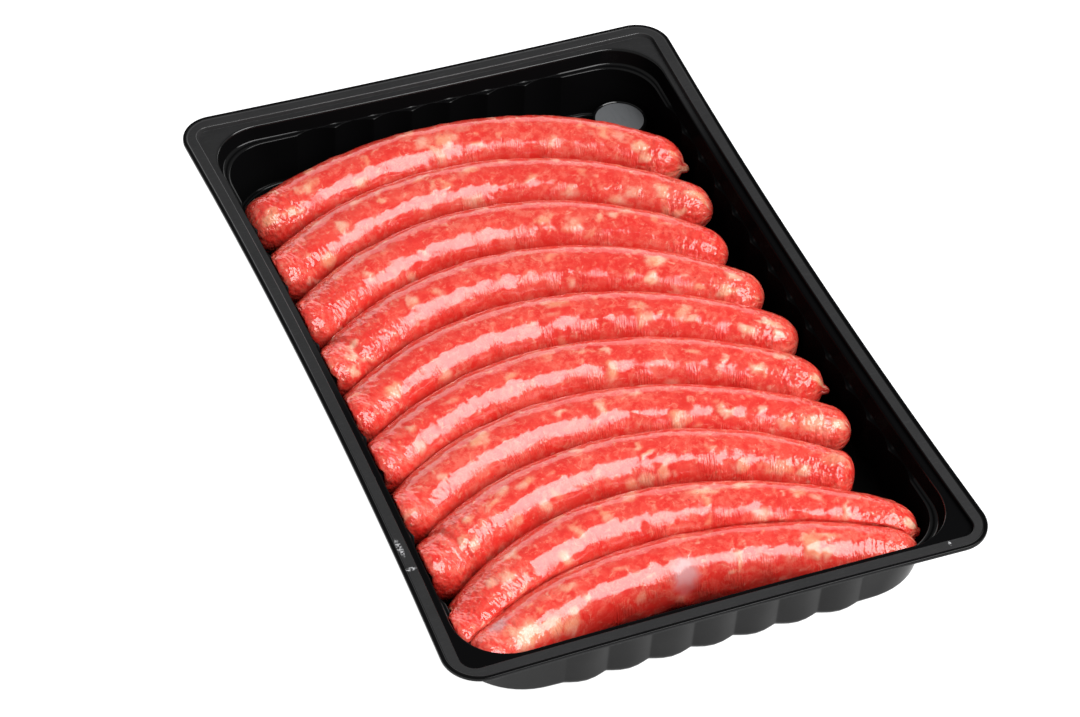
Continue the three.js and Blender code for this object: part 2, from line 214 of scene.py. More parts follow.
class StageSettings(PropertyGroup):
    """The pale floor, the camera and the light"""
    azimuth: angle("Azimuth", "Where the camera stands, from the front towards the right", -24.40)
    elevation: angle("Elevation", "How high the camera stands", 43.75)
    roll: angle("Roll", "How far the camera is turned about its own axis", 3.64)
    target: FloatVectorProperty(name="Target", description="Point that the camera looks at", size=3,
                                default=(-0.0108, -0.0053, 0.0180), subtype="XYZ", unit="LENGTH")
    distance: length("Distance", "From the camera to its target", 1182.6)
    lens: FloatProperty(name="Lens", description="Focal length in millimetres", default=119.34)
    key_azimuth: angle("Key azimuth", "Where the soft key light stands, from the front to the right", 45)
    key_elevation: angle("Key elevation", "How high the soft key light stands", 52)
    key_distance: length("Key distance", "From the key light to the tray", 1500)
    key_width: length("Key width", "Width of the key light", 1120)
    key_height: length("Key height", "Height of the key light", 1000)
    key_power: FloatProperty(name="Key power", description="Power of the key light", default=33.0,
                             unit="POWER")
    fill_azimuth: angle("Fill azimuth", "Where the wide fill light stands, from the front to the right", 150)
    fill_elevation: angle("Fill elevation", "How high the wide fill light stands", 15)
    fill_distance: length("Fill distance", "From the fill light to the tray", 1600)
    fill_width: length("Fill width", "Width of the fill light", 3000)
    fill_height: length("Fill height", "Height of the fill light", 900)
    fill_power: FloatProperty(name="Fill power", description="Power of the fill light", default=12.5,
                              unit="POWER")
    sky: colour("Sky", "Light from all round", 0.30, 0.30, 0.30)
    floor: colour("Floor", "Colour of the floor", 0.30, 0.30, 0.30)
    floor_size: length("Floor size", "Width of the floor", 12000)


class Wire:
    """A shader socket that takes part in sums: each operator adds the node that works it out."""

    def __init__(self, finish, socket):
        self.finish = finish
        self.socket = socket

    def maths(self, operation, first, second):
        """The result of one sum on values."""
        return self.finish.add("ShaderNodeMath", {"operation": operation}, {0: first, 1: second}).out()

    def __add__(self, other):
        return self.maths("ADD", self, other)

    __radd__ = __add__

    def __sub__(self, other):
        return self.maths("SUBTRACT", self, other)

    def __rsub__(self, other):
        return self.maths("SUBTRACT", other, self)

    def __mul__(self, other):
        return self.maths("MULTIPLY", self, other)

    __rmul__ = __mul__

    def size(self):
        """The value without its sign."""
        return self.maths("ABSOLUTE", self, 0.0)

    def larger(self, other):
        """The larger of two values."""
        return self.maths("MAXIMUM", self, other)


class Added:
    """A node just added, whose outputs are read as wires."""

    def __init__(self, finish, node):
        self.finish = finish
        self.node = node

    def out(self, name=0):
        """One output by its name or number."""
        return Wire(self.finish, self.node.outputs[name])


class Finish:
    """A procedural material and the ways to add nodes to it."""

    def __init__(self, name):
        self.material = bpy.data.materials.new(name)
        self.material.use_nodes = True
        self.tree = self.material.node_tree
        self.shader = self.tree.nodes["Principled BSDF"]

    def add(self, kind, settings=None, inputs=None):
        """Adds a node: its settings first, then the values or wires of its sockets."""
        node = self.tree.nodes.new(kind)
        for key, value in (settings or {}).items():
            setattr(node, key, value)
        for key, value in (inputs or {}).items():
            self.feed(node.inputs[key], value)
        return Added(self, node)

    def feed(self, socket, value):
        """Sets a socket to a value or links a wire to it."""
        if isinstance(value, Wire):
            self.tree.links.new(value.socket, socket)
        else:
            socket.default_value = value

    def place(self):
        """Where a point lies on the piece, in metres."""
        return self.add("ShaderNodeTexCoord").out("Object")

    def attribute(self, name):
        """A value that the piece's own mesh carries."""
        return self.add("ShaderNodeAttribute", {"attribute_name": name}).out("Fac")

    def vector_attribute(self, name):
        """A vector that the piece's own mesh carries."""
        return self.add("ShaderNodeAttribute", {"attribute_name": name}).out("Vector")

    def scaled(self, vector, stretch):
        """A vector multiplied part by part."""
        return self.add("ShaderNodeVectorMath", {"operation": "MULTIPLY"}, {0: vector, 1: stretch}).out()

    def moved(self, vector, shift):
        """The sum of two vectors."""
        return self.add("ShaderNodeVectorMath", {"operation": "ADD"}, {0: vector, 1: shift}).out()

    def noise(self, vector, width, detail=2.0, roughness=0.5, output="Fac"):
        """Soft noise whose features are about as wide as given."""
        inputs = {"Vector": vector, "Scale": 1 / width, "Detail": detail, "Roughness": roughness}
        return self.add("ShaderNodeTexNoise", {}, inputs).out(output)

    def cells(self, vector, width):
        """The distance from the middle of cells of about the given width."""
        inputs = {"Vector": vector, "Scale": 1 / width}
        return self.add("ShaderNodeTexVoronoi", {}, inputs).out("Distance")

    def ease(self, value, low, high, start=0.0, end=1.0):
        """Runs smoothly from start to end as a value runs from low to high."""
        inputs = {"Value": value, "From Min": low, "From Max": high, "To Min": start, "To Max": end}
        node = self.add("ShaderNodeMapRange", {"interpolation_type": "SMOOTHSTEP"}, inputs)
        return node.out("Result")

    def blend(self, share, first, second):
        """A colour between two colours."""
        node = self.add("ShaderNodeMix", {"data_type": "RGBA"}).node
        self.feed(node.inputs[0], share)
        self.feed(node.inputs[6], first)
        self.feed(node.inputs[7], second)
        return Wire(self, node.outputs[2])

    def near(self, vector, spot):
        """1 on a listed oval spot that is seen from above and 0 around it, in millimetres."""
        across, along, wide, long = (size * MM for size in spot)
        centred = self.moved(vector, (-across, -along, 0.0))
        local = self.scaled(centred, (1 / wide, 1 / long, 0.0))
        away = self.add("ShaderNodeVectorMath", {"operation": "LENGTH"}, {0: local})
        edge, core = 1.0, 0.6
        return self.ease(away.out("Value"), edge, core)

    def bump(self, height, distance, strength=1.0):
        """A normal that follows a height, given in metres for a height of one."""
        inputs = {"Height": height, "Distance": distance, "Strength": strength}
        return self.add("ShaderNodeBump", {}, inputs).out("Normal")

    def dress(self, **sockets):
        """Feeds the shader's own sockets by their names."""
        for name, value in sockets.items():
            self.feed(self.shader.inputs[name.replace("_", " ")], value)
        return self.material


def opaque(tint):
    """A colour with full alpha."""
    return (*tint, 1.0)


def tray_finish(tray):
    """Black plastic that shines on its bends, with a satin flange rubbed in fine lines and a dull pad;
    painted highlights lighten the flange along its edges and painted light greys the shelf at the back and on
    the left.
    """
    finish = Finish("tray_plastic")
    place = finish.place()
    dullness = finish.attribute("satin")
    gloss = finish.attribute("gloss")
    satin = finish.ease(dullness, 0.0, 1.0)
    dull = finish.ease(dullness, 1.0, 2.0)
    cloud = finish.noise(place, 14 * MM, detail=4.0)
    grain = finish.noise(place, 0.35 * MM, detail=2.0)
    rubbed = finish.noise(finish.scaled(place, (1.0, 9.0, 1.0)), 4 * MM, detail=5.0, roughness=0.7)
    lines = finish.noise(finish.scaled(place, (1.0, 0.12, 1.0)), 0.5 * MM, detail=2.0)
    worn = finish.ease(rubbed, 0.52, 0.78)
    plastic = finish.blend(satin * (0.6 + 0.3 * cloud + 0.4 * grain), opaque(tray.black), opaque(tray.grey))
    plastic = finish.blend(satin * worn * 0.25, plastic, opaque(tray.wear_and_highlight_grey))
    # Painted highlight: the flange is lightened where it shines, mostly along its edges
    plastic = finish.blend(satin * gloss * (0.25 + 0.75 * cloud), plastic, opaque(tray.wear_and_highlight_grey))
    plastic = finish.blend(dull * (0.7 + 0.6 * lines), plastic, opaque(tray.pale_grey))
    scratches = finish.ease(finish.noise(place, 0.7 * MM, detail=4.0, roughness=0.7), 0.47, 0.56)
    for spot in SEEN_SCUFFS:
        plastic = finish.blend(finish.near(place, spot) * scratches, plastic, opaque(tray.scuff))
    roughness = 0.35 + 0.3 * grain
    height = grain * satin + 0.15 * cloud
    return finish.dress(Base_Color=plastic, Roughness=roughness, Normal=finish.bump(height, 0.03 * MM),
                        Specular_IOR_Level=0.0, Coat_Weight=gloss * (0.8 + 0.4 * cloud), Coat_Roughness=0.1,
                        Coat_IOR=1.5)


def meat_finish(sausage):
    """Coarse raw mince under a moist casing: lean, paler meat and fat blurred together, with painted shade
    deep between two sausages.
    """
    finish = Finish("raw_sausage")
    place = finish.place()
    skin = finish.vector_attribute("skin")
    fat = finish.attribute("fat")
    membrane = finish.attribute("membrane")
    crinkle = finish.attribute("crinkle")
    fold = finish.attribute("fold")
    ends = finish.attribute("ends")
    drift = finish.noise(place, 5 * MM, detail=3.0, output="Color")
    wander = finish.moved(place, finish.scaled(drift, (3.4 * MM, 3.4 * MM, 3.4 * MM)))
    broad = finish.noise(place, 15 * MM, detail=2.0)
    middle = finish.noise(wander, 3.6 * MM, detail=3.5, roughness=0.6)
    other = finish.noise(finish.moved(wander, (0.3, 0.1, 0.2)), 2.4 * MM, detail=3.5, roughness=0.6)
    fine = finish.noise(wander, 0.9 * MM, detail=3.0, roughness=0.65)
    hair = finish.noise(finish.moved(wander, (0.7, 0.4, 0.1)), 7 * MM, detail=1.5)
    leaner = finish.ease(middle + 0.35 * broad, 0.5, 0.84)
    mixed = finish.blend(leaner, opaque(sausage.deep), opaque(sausage.lean))
    paler = finish.ease(other + 0.35 * broad + 0.25 * fine, 0.72, 1.0)
    mixed = finish.blend(paler * 0.9, mixed, opaque(sausage.pink))
    strand = finish.ease((hair - 0.5).size(), 0.016, 0.0) * finish.ease(other, 0.48, 0.62)
    fatty = (fat * (0.72 + 0.5 * fine)).larger(0.3 * strand)
    whiter = finish.ease(hair + 0.4 * fine, 0.54, 0.93)
    cream = finish.blend(whiter, opaque(sausage.warm_fat), opaque(sausage.fat))
    meat = finish.blend(fatty, mixed, cream)
    meat = finish.blend(membrane, meat, opaque(sausage.membrane))
    specks = finish.ease(finish.cells(wander, 3.4 * MM), 0.10, 0.04) * finish.ease(broad, 0.52, 0.6)
    # Painted shade deep between two sausages
    meat = finish.blend(fold * (0.5 + 0.3 * middle), meat, opaque(sausage.fold))
    meat = finish.blend(specks * 0.55, meat, opaque(sausage.speck))
    ripple = finish.noise(finish.scaled(skin, (1.0, 0.17, 1.0)), 0.55 * MM, detail=2.0, roughness=0.55)
    crackle = finish.noise(finish.scaled(skin, (1.0, 0.6, 1.0)), 2.0 * MM, detail=1.6, roughness=0.5)
    pores = finish.noise(place, 0.7 * MM, detail=2.0)
    height = 1.15 * ripple * crinkle + 2.6 * crackle * ends + 0.03 * pores + 0.04 * middle + 0.04 * strand
    roughness = 0.06 + 0.05 * middle + 0.05 * crinkle
    return finish.dress(Base_Color=meat, Roughness=roughness, Normal=finish.bump(height, 0.45 * MM),
                        IOR=1.5, Subsurface_Weight=0.3, Subsurface_Radius=(1.0, 0.25, 0.17),
                        Subsurface_Scale=2.2 * MM)


def floor_finish(stage):
    """Plain pale floor that glows a little, so that shadows on it stay light."""
    finish = Finish("pale_floor")
    cloud = finish.noise(finish.place(), 0.4, detail=2.0)
    tint = finish.blend(cloud, opaque(stage.floor), opaque([0.97 * part for part in stage.floor]))
    return finish.dress(Base_Color=tint, Roughness=0.9, Emission_Color=(1.0, 1.0, 1.0, 1.0),
                        Emission_Strength=1.0, Specular_IOR_Level=0.1)


def nothing_selected():
    """Deselects every object."""
    bpy.ops.object.select_all(action="DESELECT")


def apply_modifier(piece, kind, **settings):
    """Adds a modifier to a piece and applies it."""
    bpy.context.view_layer.objects.active = piece
    bpy.ops.object.modifier_add(type=kind)
    modifier = piece.modifiers[-1]
    for key, value in settings.items():
        setattr(modifier, key, value)
    bpy.ops.object.modifier_apply(modifier=modifier.name)


def points_of(data):
    """The places of a mesh's points, one row each."""
    points = np.empty(len(data.vertices) * 3)
    data.vertices.foreach_get("co", points)
    return points.reshape(-1, 3)


def move_points(data, points):
    """Moves a mesh's points to new places."""
    data.vertices.foreach_set("co", points.ravel())
    data.update()


def fade_in(values, low, high):
    """Runs smoothly from 0 at low to 1 at high."""
    share = np.clip((values - low) / (high - low), 0, 1)
    return share * share * (3 - 2 * share)


def flute_inset(place, pitch, ridge):
    """How far a fluted wall stands in: nothing in a scallop, all of it on a slightly rounded ridge."""
    softness = 0.07
    wave = np.hypot(np.cos(np.pi * place / pitch), softness) / math.hypot(1, softness)
    return ridge * (1 - wave)


# One bend of the tray's section, its fillet in millimetres. The glints are how much it shines: all along,
# on the short sides, in the corners and on the ridges.
# On the flange the glints also lighten the colour, a painted highlight.
Bend = namedtuple(
    "Bend",
    "setback depth corner fillet ridge satin gloss glint short_glint corner_glint ridge_glint",
    defaults=(0, 0, 0.02, 0, 0, 0, 0),
)


class TrayForm:
    """Works out the tray's outline at each level from its settings."""
    FLUTE_SHARES = (0.0, 0.02, 0.06, 0.14, 0.30, 0.5, 0.70, 0.86, 0.94, 0.98)
    CORNER_STEPS = 16
    FILLET_SHARES = (0.0, 0.25, 0.5, 0.75, 1.0)
    FILLET_LIMIT = 0.45
    GLINT_SHARPNESS = 9

    def __init__(self, tray):
        self.tray = tray
        self.long_stations = self.stations(tray.long_pitch, tray.long_flutes)
        self.short_stations = self.stations(tray.short_pitch, tray.short_flutes)
        self.bow_end = Vector((RIM.x - tray.rim_corner, RIM.y - tray.rim_corner))

    def stations(self, pitch, flutes):
        """Places along a side, close together near the ridges."""
        starts = (np.arange(flutes) - flutes / 2) * pitch
        inner = (starts[:, None] + pitch * np.array(self.FLUTE_SHARES)).ravel()
        return np.append(inner, flutes * pitch / 2)

    def bends(self):
        """The sheet's section from under the base, over the lip and down to the floor."""
        tray = self.tray
        sheet = tray.sheet
        flange_end = tray.lip_width + tray.flange_width
        floor = RIM.z - sheet
        wall_end = floor - tray.foot_fillet
        step = 0.5 * MM
        corner, inner = tray.cavity_corner, tray.cavity_corner - sheet
        rim, flange = tray.rim_corner, tray.rim_corner - tray.lip_width
        edge, ledge, foot = tray.cavity_edge, tray.ledge_setback, tray.foot_setback
        shelf_edge = tray.shelf_depth + 0.3 * MM
        ledge_foot = tray.ledge_depth + 0.25 * MM
        return (
            Bend(foot + 4 * tray.foot_fillet, RIM.z, tray.base_corner, 0.0, ridge=1, gloss=0.5),
            Bend(foot + 0.5 * tray.foot_fillet, RIM.z, tray.base_corner, 0.7, ridge=1, gloss=0.5),
            Bend(foot - sheet, wall_end, tray.floor_corner + sheet, 0.8, ridge=1, gloss=0.5),
            Bend(ledge - sheet, ledge_foot + sheet, corner, 0.3, ridge=1, gloss=0.5),
            Bend(ledge - sheet, tray.ledge_depth + 0.5 * sheet, corner, 0.3, gloss=0.5),
            Bend(edge - sheet, shelf_edge + sheet, corner, 0.4, gloss=0.5),
            Bend(step, tray.lip_drop, rim, 0.2, gloss=0.3),
            Bend(0.0, tray.lip_drop, rim, 0.2, gloss=0.6),
            Bend(0.0, 0.0, rim, 0.75, gloss=0.3),
            Bend(tray.lip_width - step, 0.0, flange, 0.4),
            Bend(tray.lip_width, tray.flange_depth, flange, 0.3, satin=1, glint=0.5),
            Bend(flange_end, tray.flange_depth, tray.flange_corner, 0.3, satin=1, glint=0.5),
            Bend(flange_end + step, tray.shelf_depth, tray.flange_corner, 0.3, satin=0.7, gloss=0.04),
            Bend(edge - step, tray.shelf_depth, corner, 0.3, satin=0.7, gloss=0.04),
            Bend(edge, shelf_edge, corner, 0.5, glint=0.1, short_glint=1, corner_glint=0.9),
            Bend(ledge, tray.ledge_depth, inner, 0.5, corner_glint=0.6, ridge_glint=0.8),
            Bend(ledge + 0.1 * MM, ledge_foot, inner, 0.25, ridge=1, corner_glint=0.6, ridge_glint=0.8),
            Bend(foot, wall_end, tray.floor_corner, 0.5, ridge=1, corner_glint=0.5),
            Bend(foot + tray.foot_fillet, floor, tray.floor_corner, 0.5, ridge=1, corner_glint=0.5),
            Bend(foot + 4 * tray.foot_fillet, floor, tray.floor_corner, 0.0, ridge=1),
        )

    def levels(self):
        """The section with each bend rounded by its own fillet, whose middle takes the bend's glints."""
        bends = [np.array(bend) for bend in self.bends()]
        glints = np.array([name.endswith("glint") for name in Bend._fields])
        fillet = Bend._fields.index("fillet")
        places = [np.where(glints, 0, bends[0])]
        for before, bend, after in zip(bends[:-2], bends[1:-1], bends[2:]):
            back, ahead = before - bend, after - bend
            reach = bend[fillet] * MM
            start = bend + back * min(reach / np.hypot(*back[:2]), self.FILLET_LIMIT)
            end = bend + ahead * min(reach / np.hypot(*ahead[:2]), self.FILLET_LIMIT)
            for share in self.FILLET_SHARES:
                rest = 1 - share
                place = rest * rest * start + 2 * share * rest * bend + share * share * end
                places.append(np.where(glints, 4 * share * rest * bend, place))
        places.append(np.where(glints, 0, bends[-1]))
        return [Bend(*place) for place in places]

    def ring(self, level):
        """The points of one level and the marks that the finish reads there."""
        points = self.outline(level.setback, level.depth, level.corner, level.ridge)
        long_ridges = flute_inset(self.long_stations, self.tray.long_pitch, 1) ** self.GLINT_SHARPNESS
        short_ridges = flute_inset(self.short_stations, self.tray.short_pitch, 1) ** self.GLINT_SHARPNESS
        ridges = self.all_round(long_ridges, 0, short_ridges)
        corners = self.all_round(0 * long_ridges, 1, 0 * short_ridges)
        shorts = self.all_round(0 * long_ridges, 0, 0 * short_ridges + 1)
        gloss = level.gloss + level.glint + level.short_glint * shorts
        gloss = gloss + level.corner_glint * corners + level.ridge_glint * ridges
        satin = np.full_like(gloss, level.satin)
        # On the shelf the satin mark carries painted light and shade, by the side of the tray
        if level.satin < 1:
            satin = satin * self.shelf_painted_light(points)
        return points, {"satin": satin, "gloss": np.minimum(gloss, 1)}

    def all_round(self, long_side, corner, short_side):
        """The values of a whole ring from those of a long side, a corner and a short side."""
        curve = np.full(self.CORNER_STEPS, float(corner))
        return np.tile(np.concatenate([long_side, curve, short_side, curve]), 2)

    def shelf_painted_light(self, points):
        """How grey the shelf is, as painted light and shade on one plastic: grey at the back and on the left,
        black at the front and on the right.
        """
        right = fade_in(points[:, 0] / RIM.x, -0.3, 0.3)
        return fade_in(points[:, 1] / RIM.y - 0.5 * right, -0.25, 0.35)

    def outline(self, setback, depth, corner, ridge):
        """One closed ring of points at a level, counter-clockwise, with its sides bowed in."""
        tray = self.tray
        half_x, half_y = RIM.x - setback, RIM.y - setback
        stand_in = ridge * tray.ridge
        side = half_x - flute_inset(self.long_stations, tray.long_pitch, stand_in)
        end = half_y - flute_inset(self.short_stations, tray.short_pitch, stand_in)
        turn = np.linspace(0, np.pi / 2, self.CORNER_STEPS)
        bend_x = half_x - stand_in - corner * (1 - np.cos(turn))
        bend_y = half_y - stand_in - corner * (1 - np.sin(turn))
        quarter = [
            np.stack([side, self.long_stations]),
            np.stack([bend_x, bend_y]),
            np.stack([-self.short_stations, end]),
            np.stack([-bend_x[::-1], bend_y[::-1]]),
        ]
        half = np.concatenate(quarter, axis=1)
        x, y = np.concatenate([half, -half], axis=1)
        x, y = self.bowed(x, y, x, y)
        return np.stack([x, y, np.full_like(x, RIM.z - depth)], axis=1)

    def bowed(self, x, y, beside_x, beside_y):
        """Draws places on the sides in by the bow that a side has at the places given last."""
        bow_x = self.tray.long_bow / RIM.x * (1 - np.minimum(np.abs(beside_y) / self.bow_end.y, 1) ** 2)
        bow_y = self.tray.short_bow / RIM.y * (1 - np.minimum(np.abs(beside_x) / self.bow_end.x, 1) ** 2)
        return x * (1 - bow_x), y * (1 - bow_y)


def place_ring(mesh, points, marks):
    """Moves the selected ring to its places and marks it for the finish."""
    station = mesh.verts.layers.int["station"]
    layers = {mesh.verts.layers.float[name]: values for name, values in marks.items()}
    for vertex in mesh.verts:
        if vertex.select:
            vertex.co = points[vertex[station]]
            for layer, values in layers.items():
                vertex[layer] = values[vertex[station]]


def extrude_ring(data, points, marks):
    """Extrudes the selected ring and moves the new one to its places."""
    bpy.ops.mesh.extrude_edges_move()
    mesh = bmesh.from_edit_mesh(data)
    place_ring(mesh, points, marks)
    bmesh.update_edit_mesh(data)


def start_ring(data, points, marks):
    """Adds a circle with one point for each place and moves it there."""
    bpy.ops.mesh.primitive_circle_add(vertices=len(points), radius=RIM.x)
    mesh = bmesh.from_edit_mesh(data)
    if "station" not in mesh.verts.layers.int:
        mesh.verts.layers.int.new("station")
    for name in marks:
        if name not in mesh.verts.layers.float:
            mesh.verts.layers.float.new(name)
    station = mesh.verts.layers.int["station"]
    ring = [vertex for vertex in mesh.verts if vertex.select]
    ring.sort(key=lambda vertex: math.atan2(vertex.co.y, vertex.co.x))
    for number, vertex in enumerate(ring):
        vertex[station] = number
    place_ring(mesh, points, marks)
    bmesh.update_edit_mesh(data)


def pad_rings(tray):
    """The rings of the raised round pad from the floor up: a glossy edge round a dull, slightly sunk face."""
    sides = 96
    turn = np.linspace(0, 2 * np.pi, sides, endpoint=False)
    even = np.ones_like(turn)
    # Outward from the pad's radius and up from its top in millimetres, how dull and how glossy
    section = ((0.0, -8.2, 0, 0.1), (0.0, -0.5, 0, 0.3), (-0.08, -0.15, 0, 1), (-0.25, 0.0, 0, 1),
               (-0.45, -0.03, 0, 1), (-0.6, -0.35, 0, 0.3), (-0.85, -0.4, 0, 0.1), (-1.0, -0.4, 2, 0.1),
               (-9.0, -0.4, 2, 0.1))
    for outward, rise, satin, gloss in section:
        radius = tray.pad_radius + outward * MM
        height = (tray.pad_height + rise * MM) * even
        across = tray.pad_x + radius * np.cos(turn)
        along = tray.pad_y + radius * np.sin(turn)
        yield np.stack([across, along, height], axis=1), {"satin": satin * even, "gloss": gloss * even}


class MakeTray(Operator):
    """Forms the tray level by level from its base over the lip to its floor, with flutes and a round pad"""
    bl_idname = "tray_pack.tray"
    bl_label = "Tray"

    def execute(self, context):
        tray = context.scene.tray_settings
        form = TrayForm(tray)
        nothing_selected()
        bpy.ops.mesh.primitive_circle_add(vertices=3, radius=RIM.x)
        piece = context.object
        piece.name = piece.data.name = "tray_shell"
        bpy.ops.object.mode_set(mode="EDIT")
        bpy.ops.mesh.delete(type="VERT")
        self.loft(piece.data, [form.ring(level) for level in form.levels()], closed=True)
        self.loft(piece.data, list(pad_rings(tray)), closed=False)
        bpy.ops.mesh.select_all(action="SELECT")
        bpy.ops.mesh.normals_make_consistent(inside=False)
        bpy.ops.object.mode_set(mode="OBJECT")
        bpy.ops.object.shade_smooth()
        apply_modifier(piece, "WEIGHTED_NORMAL", keep_sharp=False, weight=80)
        piece.data.materials.append(tray_finish(tray))
        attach(piece, "root")
        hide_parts("tray")
        return {"FINISHED"}

    def loft(self, data, rings, closed):
        """Extrudes a skin from ring to ring and fills its last ring, and its first one if it is closed."""
        bpy.ops.mesh.select_all(action="DESELECT")
        start_ring(data, *rings[0])
        if closed:
            bpy.ops.mesh.edge_face_add()
        for points, marks in rings[1:]:
            extrude_ring(data, points, marks)
        bpy.ops.mesh.edge_face_add()


class SausageForm:
    """One sausage's arch, girth and tips, read from its node in the frame."""
    ARCH_DEGREE = 3
    STEPS = 200

    def __init__(self, node, left_reach, right_trim):
        self.low, self.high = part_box(node)
        self.left_reach = left_reach * MM
        self.low.x -= self.left_reach
        self.high.x -= right_trim * MM
        points = points_of(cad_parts[node].data)
        self.arch = np.polynomial.Polynomial.fit(points[:, 0], points[:, 1], self.ARCH_DEGREE)
        self.radius = (self.high.z - self.low.z) / 2
        self.steps = np.linspace(self.low.x, self.high.x, self.STEPS)
        lengths = np.hypot(1, self.arch.deriv()(self.steps)) * (self.steps[1] - self.steps[0])
        self.lengths = np.cumsum(lengths)

    def along(self, x):
        """How far along the arch a place across the tray lies."""
        return np.interp(x, self.steps, self.lengths)

    def section(self, share):
        """Where the axis lies at a share of the length, its slope and how far off both tips are."""
        x = self.low.x + (self.high.x - self.low.x) * share
        slope = self.arch.deriv()(x)
        along = self.along(x)
        return x, slope, along - self.lengths[0], self.lengths[-1] - along


def waves(lot, along, around, width):
    """Smooth seeded waves of about one up and down, with features of about the given width."""
    total = 0.0
    count = 7
    for _ in range(count):
        turn, phase = lot.uniform(0, 2 * np.pi, 2)
        pitch = 2 * width * lot.uniform(0.7, 1.5)
        total = total + np.sin(2 * np.pi * (along * math.cos(turn) + around * math.sin(turn)) / pitch + phase)
    return total * math.sqrt(2 / count)


class MakeSausages(Operator):
    """Shapes each sausage along its arch, pressed to its neighbours, with lumps, wrinkles and tips"""
    bl_idname = "tray_pack.sausages"
    bl_label = "Sausages"
    # How far from their tips the left ends climb, the right ends turn up and the painted shade of the folds
    # fades
    LEFT_CLIMB = 14 * MM
    RIGHT_TURN = 10 * MM
    FOLD_SHADE_FADE = 18 * MM
    # How softly the casing gives way to the wall, and then the lumps on it
    CASING_SOFTNESS = 0.8 * MM
    LUMP_SOFTNESS = 0.05 * MM
    # Height over the ledge in which the flutes below it stop pressing
    LEDGE_FADE = 1.5 * MM
    # How much of the girth a neck takes, and half its length in millimetres
    NECK_DEPTH = 0.07
    NECK_LENGTH = 1.6

    def execute(self, context):
        sausage = context.scene.sausage_settings
        forms = [SausageForm(*row) for row in zip(SAUSAGE_NODES, LEFT_REACH, RIGHT_TRIM)]
        if len(forms) != len(SEEN_FAT):
            raise RuntimeError("The frame holds another number of sausages than the lists of fat")
        finish = meat_finish(sausage)
        lumps = self.texture("lumps", sausage.lump_size)
        grain = self.texture("grain", sausage.grain_size)
        for number, node in enumerate(SAUSAGE_NODES):
            nothing_selected()
            bpy.ops.mesh.primitive_uv_sphere_add(segments=sausage.sides, ring_count=sausage.rings)
            piece = context.object
            piece.name = piece.data.name = f"raw_{node}"
            self.shape(sausage, forms, number, piece.data)
            for texture, height in ((lumps, sausage.lump_height), (grain, sausage.grain_height)):
                apply_modifier(piece, "DISPLACE", texture=texture, texture_coords="LOCAL", strength=height)
            self.settle(sausage, forms, number, piece.data)
            bpy.ops.object.shade_smooth()
            piece.data.materials.append(finish)
            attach(piece, "root")
            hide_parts(node)
        return {"FINISHED"}

    def texture(self, name, size):
        """A cloudy texture whose features have the given size."""
        texture = bpy.data.textures.new(name, "CLOUDS")
        texture.noise_scale = size
        texture.noise_depth = 1
        return texture

    def shape(self, sausage, forms, number, data):
        """Places every point of a sphere on the sausage's skin and marks it for the finish."""
        own = forms[number]
        lot = np.random.default_rng(sausage.seed + number)
        points = points_of(data)
        level = np.arccos(np.clip(-points[:, 2], -1, 1)) / np.pi
        end_crowding, crest_crowding = 0.6, 0.4
        share = level - end_crowding * np.sin(2 * np.pi * level) / (2 * np.pi)
        turn = np.arctan2(-points[:, 1], points[:, 0])
        around = turn - crest_crowding * np.sin(turn)
        x, slope, to_left, to_right = own.section(share)
        to_tip = np.minimum(to_left, to_right)
        taper = 1 - np.where(share < 0.5, sausage.left_taper, sausage.taper) * np.abs(2 * share - 1) ** 3
        body = own.radius * taper / sausage.upright
        arc = around * own.radius
        fat = self.fat(sausage, own, number, lot, to_left, arc)
        radius = body * self.cap(sausage, number, to_left, to_right)
        radius = radius + np.minimum(to_tip / sausage.cap, 1) * sausage.fat_rise * fat
        radius = radius + self.wrinkles(sausage, lot, around, to_left)
        radius = np.maximum(radius, 0.0)
        lift = sausage.left_lift * own.left_reach * fade_in(-to_left, -self.LEFT_CLIMB, 0)
        lift = lift + sausage.right_lift * fade_in(-to_right, -self.RIGHT_TURN, 0)
        stretch = np.hypot(1, slope)
        sideways = radius * np.sin(around)
        placed = np.stack([
            x - slope / stretch * sideways,
            own.arch(x) + sideways / stretch,
            own.low.z + sausage.upright * (body + radius * np.cos(around)) + lift,
        ], axis=1)
        self.press(sausage, forms, number, placed, self.CASING_SOFTNESS)
        move_points(data, placed)
        spots = SEEN_MEMBRANE.get(number, ())
        self.mark(data, "FLOAT", "fat", fat)
        self.mark(data, "FLOAT", "membrane", self.patches(lot, to_left, arc, self.seen(own, spots)))
        self.mark(data, "FLOAT", "fold", self.folds(around, to_right))
        self.mark(data, "FLOAT", "crinkle", self.crinkle(lot, to_left, around))
        self.mark(data, "FLOAT", "ends", self.ends(number, to_left, to_right))
        self.mark(data, "FLOAT_VECTOR", "skin", np.stack([to_left, arc, np.full_like(arc, number)], axis=1))

    def mark(self, data, kind, name, values):
        """Gives every point of a piece a value that its finish reads."""
        layer = data.attributes.new(name, kind, "POINT")
        layer.data.foreach_set("vector" if kind == "FLOAT_VECTOR" else "value", values.ravel())

    def folds(self, around, to_right):
        """How much painted shade darkens each point deep between two sausages, by its turn from the crest in
        radians.
        """
        front = fade_in(-around, 0.75, 1.4) * fade_in(to_right, 0, self.FOLD_SHADE_FADE)
        return front + fade_in(around, 1.0, 1.5)

    def seen(self, own, rows):
        """Turns listed spots into places on the skin, each with its half sizes, turn and strength."""
        for x, degrees, long, wide, strength in rows:
            at = own.along(x * MM) - own.lengths[0]
            yield at, math.radians(degrees) * own.radius, long, wide, 0.0, strength

